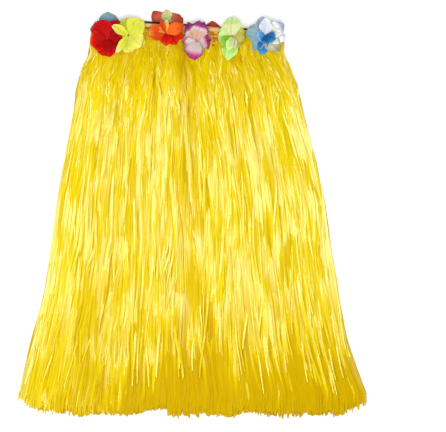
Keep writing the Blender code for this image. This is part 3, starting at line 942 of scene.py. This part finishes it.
# %% The six flowers on the front
silk_flower("flower_red", "red", [
    (200, 14, 26, 1, 0, -0.1, 0, 0.05, 0.1),
    # The right petal keeps to the dark end of the dye card: painted shade.
    (-6, 37, 42, 3, 2, -0.1, 4, 0.12, 0.4),
    (54, 43, 42, 4, 2, -0.16, -4, 0.18, 0.4),
    (118, 42, 44, 6, 3, -0.16, 6, 0.3, 0.6),
    # The left petal's rim runs up to the orange stop: a painted highlight.
    (-167, 34, 42, 6, 3, -0.1, -6, 0.2, 0.9),
    (-88, 36, 40, 5, 3, -0.12, 3, 0.1, 0.7),
], seed=31)
silk_flower("flower_yellow", "yellow", [
    (192, 13, 30, 4, 0, -0.1, 0, 0.72, 0.8),
    (-92, 37, 36, 8, 2, -0.08, 6, 0.74, 0.84),
    (100, 35, 30, 9, 3, -0.05, -10, 0.34, 0.42),
    (48, 41, 41, 12, 4, -0.12, 6, 0.64, 0.78),
    (-40, 35, 43, 11, 4, -0.1, -4, 0.78, 0.88),
    (-123, 45, 16, 12, 2, 0.05, 8, 0.7, 0.98),
    (150, 38, 19, 15, 2, 0.05, 8, 0.62, 1),
], seed=32, floor_up=0.004)
silk_flower("flower_orange", "orange", [
    (-12, 39, 24, 4, 2, -0.05, 6, 0.1, 0.32),
    (-42, 34, 24, 6, 2, -0.05, -8, 0.04, 0.3),
    (-84, 27, 24, 8, 3, -0.05, 6, 0.08, 0.38),
    (20, 40, 27, 9, 5, -0.1, 12, 0.66, 0.46),
    (184, 35, 35, 9, 3, -0.12, 8, 0.46, 0.82),
    (150, 24, 12, 6, 2, 0.1, -8, 0.8, 0.95),
    (82, 26, 11, 10, 2, 0.15, 0, 0.88, 0.98),
    (110, 26, 11, 12, 1, 0.1, 12, 0.44, 0.58),
], seed=33)
silk_flower("flower_purple", "purple", [
    (176, 28, 30, 5, 2, 0, 4, 0.22, 0.5),
    (18, 27, 47, 7, 5, -0.14, 4, 0.35, 0.76),
    (119, 39, 27, 11, 5, -0.05, -4, 0.04, 0.98),
    (74, 40, 34, 14, 6, -0.1, 6, 0.02, 0.86),
    (-150, 27, 26, 11, 3, 0, 0, 0.26, 0.46),
    (-101, 40, 36, 16, 5, -0.08, 0, 0.28, 0.72),
], seed=34, serrated=True)
silk_flower("flower_green", "green", [
    (-99, 49, 33, 5, 1, -0.05, 2, 0.34, 0.46),
    (183, 28, 44, 5, 3, -0.1, -8, 0.52, 0.62),
    (-11, 28, 42, 8, 4, -0.1, 6, 0.97, 1),
    # This short petal keeps to the saturated first stop: painted shade in the opening between the petals.
    (-130, 31, 27, 8, 1, 0, 0, 0.02, 0.22),
    (-77, 27, 15, 10, 2, 0.05, 0, 0.8, 0.76),
    (-103, 33, 17, 15, 0, 0.05, 6, 0.56, 0.44),
    (91, 37, 37, 12, 6, -0.16, -6, 0.7, 0.47),
], seed=35)
silk_flower("flower_blue", "blue", [
    (-133, 38, 26, 4, 2, -0.05, 6, 0.4, 0.5),
    (-101, 40, 24, 6, 3, -0.05, -4, 0.06, 0.2),
    (-49, 42, 33, 7, 3, -0.1, 4, 0.95, 1),
    (-8, 41, 30, 10, 5, -0.1, 6, 0.93, 0.7),
    (30, 43, 35, 11, 5, -0.12, -6, 0.84, 0.55),
    (168, 40, 36, 8, 4, -0.12, -4, 0.44, 0.5),
    (104, 38, 32, 10, 3, 0, 8, 0.52, 0.6),
    (88, 34, 27, 13, 3, 0, 0, 0.7, 0.8),
    (196, 18, 24, 12, 1, 0, 0, 0.2, 0.34),
    (-30, 22, 24, 14, 1, 0.05, 6, 0.02, 0.15),
    (-78, 20, 22, 14, 1, 0.05, -6, 0, 0.2),
], seed=36)


# %% [markdown]
# ## The flowers on the back
# Four more flowers are sewn to the back of the waistband, and only their upper petals stand
# above it. They face the table, so they are made in the same way and turned over.

# %% The four flowers on the back
def even_petals(turn, reach, width, dyes):
    """Five like petals, a fifth of a turn apart, with each one's dye at throat and rim."""
    return [(turn + 72 * step, reach, width, 4, 1, 0, (-1) ** step * 5, *dyes[step % len(dyes)])
            for step in (2, 3, 1, 4, 0)]


silk_flower("back_flower_blue", "blue", [
    (-60, 34, 34, 4, 1, 0, 4, 0.34, 0.48),
    (-128, 34, 34, 4, 1, 0, 4, 0.34, 0.48),
    (20, 34, 30, 4, 1, 0, -4, 0.34, 0.48),
    (184, 34, 30, 4, 1, -0.1, 4, 0.36, 0.52),
    (75, 34, 42, 4, 1, -0.16, -5, 0.36, 0.5),
], 41, face_down=True)
silk_flower("back_flower_coral", "coral", [
    (234, 35, 36, 4, 1, -0.1, 5, 0.5, 0.3),
    (306, 35, 36, 4, 1, -0.1, -5, 0.5, 0.3),
    (91, 33, 24, 4, 1, -0.22, 4, 0.98, 0.86),
    (32, 36, 36, 5, 1, 0.02, -5, 0.62, 0.26),
    (139, 42, 30, 5, 1, -0.1, 5, 0.58, 0.26),
], 42, face_down=True)
silk_flower("back_flower_red", "dull_red", even_petals(90, 35, 40, [(0.5, 0.9), (0.4, 0.8)]),
            43, face_down=True)
# Its maroon dye is painted shade: a red flower darkened for the shade that its petals lie in.
silk_flower("back_flower_maroon", "maroon", even_petals(126, 35, 38, [(0.2, 0.6), (0.4, 0.8)]),
            44, face_down=True)

# %% [markdown]
# ## The header
# Above the strands the raffia is bound into a band: it runs sideways round a few cords and
# is stitched, so the band shows rows of slanted wraps, with a pale binding along its top.
# A bump map would look flat from the side, so the rows are in the mesh: a flattened tube
# of rings, whose points are pushed out along each row and along each wrap.

# %% Measure a band
BAND_COLUMNS, BAND_SAMPLES = 260, 25
CURLED_END = 0.006


def band_walls(node, inset_left=0.012, inset_right=0.004):
    """Even places across a band, and there its lower and upper edge and its two faces."""
    low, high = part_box(node)
    edges, rays = edge_ends(node), rays_at(node)
    places = np.linspace(low.x + inset_left, high.x - inset_right, BAND_COLUMNS)
    coarse = np.linspace(places[0], places[-1], BAND_SAMPLES)
    bottoms, tops = np.array([crossings(edges, 0, place) for place in coarse]).T
    tops = tops - CURLED_END * ease(-coarse, 0.10, 0.15)
    middles = (bottoms + tops) / 2
    faces = [[face_height(rays, x, y, side) for x, y in zip(coarse, middles)] for side in (-1, 1)]
    return places, [np.interp(places, coarse, values) for values in (bottoms, tops, *faces)]


# %% The form of a wrapped band
BAND_ROWS, BAND_RING = 9, 92
WRAP_PITCH = 0.0064
ROW_HEIGHT, WRAP_HEIGHT = 0.0011, 0.0004


def bound_form(chance, places, bottom, top, under, upper):
    """Rings of points round a flattened tube, pushed out along its rows and its wraps."""
    turn = np.linspace(0, 2 * np.pi, BAND_RING, endpoint=False)
    lift = np.sign(np.sin(turn)) * np.abs(np.sin(turn)) ** 0.35
    rise = -np.sign(np.cos(turn)) * np.abs(np.cos(turn)) ** 0.75
    level = (top + bottom)[:, None] / 2 + (top - bottom)[:, None] / 2 * rise
    row = (rise + 1) / 2 * BAND_ROWS
    ridge = np.abs(np.sin(np.pi * row)) ** 0.6 * np.abs(lift)
    sway = bends(chance, 1, np.linspace(0, 1, BAND_COLUMNS), (7, 15), 0.5)[0]
    wraps = places[:, None] / WRAP_PITCH + 0.5 * np.floor(row)
    wrap = np.sin(2 * np.pi * (wraps + 0.45 * (row % 1)) + sway[:, None])
    swell = ROW_HEIGHT * (ridge - 0.75) + WRAP_HEIGHT * wrap * ridge
    height = (upper + under)[:, None] / 2 + ((upper - under)[:, None] / 2 + swell) * lift
    across = np.repeat(places[:, None], BAND_RING, axis=1)
    return np.stack([across, level, height], axis=2), row, ridge, wraps


def tube_faces():
    """The faces of a tube of rings, closed at each end round a middle point."""
    ring = np.arange(BAND_RING)
    following = np.roll(ring, -1)
    first = np.arange(BAND_COLUMNS - 1)[:, None] * BAND_RING
    second = first + BAND_RING
    quads = np.stack([first + ring, first + following, second + following, second + ring], axis=2)
    last, middle = (BAND_COLUMNS - 1) * BAND_RING, np.full(BAND_RING, BAND_COLUMNS * BAND_RING)
    near_end = np.stack([middle, following, ring], axis=1)
    far_end = np.stack([middle + 1, last + ring, last + following], axis=1)
    return quads.reshape(-1, 4).tolist() + near_end.tolist() + far_end.tolist()


# %% The bound headers
WRAP_TINTS = 400
# From dark brown to gold: the dark end is reached in the grooves, where it is painted shade.
HEADER_TINTS_AND_GROOVE_SHADE = [(0, "8C4E00"), (0.3, "B87408"), (0.65, "D8A020"), (1, "E8C048")]
header_raffia = film_material("header_raffia", HEADER_TINTS_AND_GROOVE_SHADE, 0.36, gloss_level=0.20)
tree = header_raffia.node_tree
shader = tree.nodes["Principled BSDF"]
wraps_colour = shader.inputs["Base Color"].links[0].from_socket
connect(tree, shader, {"Base Color": mix(tree, attribute(tree, "binding"), wraps_colour, colour("DEB270"))})


def bound_band(name, node, seed):
    """A flattened tube of bound raffia in the place of a header."""
    chance = np.random.default_rng(seed)
    places, (bottom, top, under, upper) = band_walls(node)
    points, row, ridge, wraps = bound_form(chance, places, bottom, top, under, upper)
    middles = np.stack([places, (top + bottom) / 2, (upper + under) / 2], axis=1)
    film = np.stack([np.repeat(row[None], BAND_COLUMNS, axis=0), points[..., 0]], axis=2).reshape(-1, 2)
    mesh = smooth_mesh(name, points.reshape(-1, 3).tolist() + middles[[0, -1]].tolist(), tube_faces(),
                       "film", np.concatenate([film, np.zeros((2, 2))]))
    wrap_number = np.floor(wraps).astype(int) * 7 + np.floor(row).astype(int) * 13
    # Painted shade: each wrap's tint is darkened into the grooves between the rows and towards the band's
    # upper and lower edges.
    tint = chance.uniform(0, 1, WRAP_TINTS)[wrap_number % WRAP_TINTS] * (0.35 + 0.65 * ridge)
    binding = np.repeat(ease(row, BAND_ROWS - 1.95, BAND_ROWS - 1.75)[None], BAND_COLUMNS, axis=0)
    carry(mesh, "strand_tint", [*tint.ravel(), 0.5, 0.5])
    carry(mesh, "binding", [*binding.ravel(), 0.0, 0.0])
    mesh.materials.append(header_raffia)
    piece = place_piece(name, mesh)
    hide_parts(node)
    print(name, len(mesh.polygons), "faces")
    return piece


header_front_band = bound_band("header_front_band", "header_front", 51)
header_back_band = bound_band("header_back_band", "header_back", 52)

# %% [markdown]
# ## The elastic tape
# A dark woven elastic runs inside the header. Only its edge shows above the waist, dark
# against the pale binding: its dark brown is partly its own colour and partly painted shade,
# for the shade in the mouth of the waistband. It is a ribbed strip: the ribs are the rubber cores.

# %% The ribbed tape
RIBS = 11
RIB_HEIGHT = 0.00018
PUCKER_HEIGHT, PUCKER_PITCH = 0.00025, 0.0085
TAPE_DIP, TAPE_DIP_AT, TAPE_DIP_REACH = 0.005, 0.042, 0.018

# Dark brown webbing: partly the tape's own colour, partly painted shade in the mouth of the waistband.
tape_webbing_and_shade, tree, shader = new_material("tape_webbing_and_shade")
weave = add_node(tree, "ShaderNodeGroup", {"Thread pitch": 0.0011}, node_tree=silk_weave).outputs["Weave"]
connect(tree, shader, {
    "Base Color": ramp(tree, weave, [(0.2, "2A1E12"), (0.8, "4C3A24")]),
    "Normal": bump(tree, weave, 0.5, 0.0004), "Roughness": 0.75})


def ribbed_tape(name, node):
    """A strip of elastic in the place of a tape."""
    places, (bottom, top, under, upper) = band_walls(node, inset_left=0.016, inset_right=0.008)
    rows = np.linspace(0, 1, RIBS * 2 + 1)
    top = top - TAPE_DIP * near(places, TAPE_DIP_AT, TAPE_DIP_REACH)
    level = bottom[:, None] + (top - bottom)[:, None] * rows
    rib = RIB_HEIGHT * np.cos(2 * np.pi * RIBS * rows)
    pucker = PUCKER_HEIGHT * np.sin(2 * np.pi * places[:, None] / PUCKER_PITCH) * np.sin(np.pi * rows)
    height = (under + upper)[:, None] / 2 + rib + pucker
    points = np.stack([np.repeat(places[:, None], len(rows), axis=1), level, height], axis=2).reshape(-1, 3)
    piece = cloth_piece(name, points, grid_faces(len(rows), len(places)), points[:, :2], tape_webbing_and_shade,
                        "elastic_tape", thickness=float((upper - under).mean()) * 0.8)
    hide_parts(node)
    print(name, len(piece.data.polygons), "faces")
    return piece


tape_front = ribbed_tape("tape_front", "elastic_front")
tape_back = ribbed_tape("tape_back", "elastic_back")
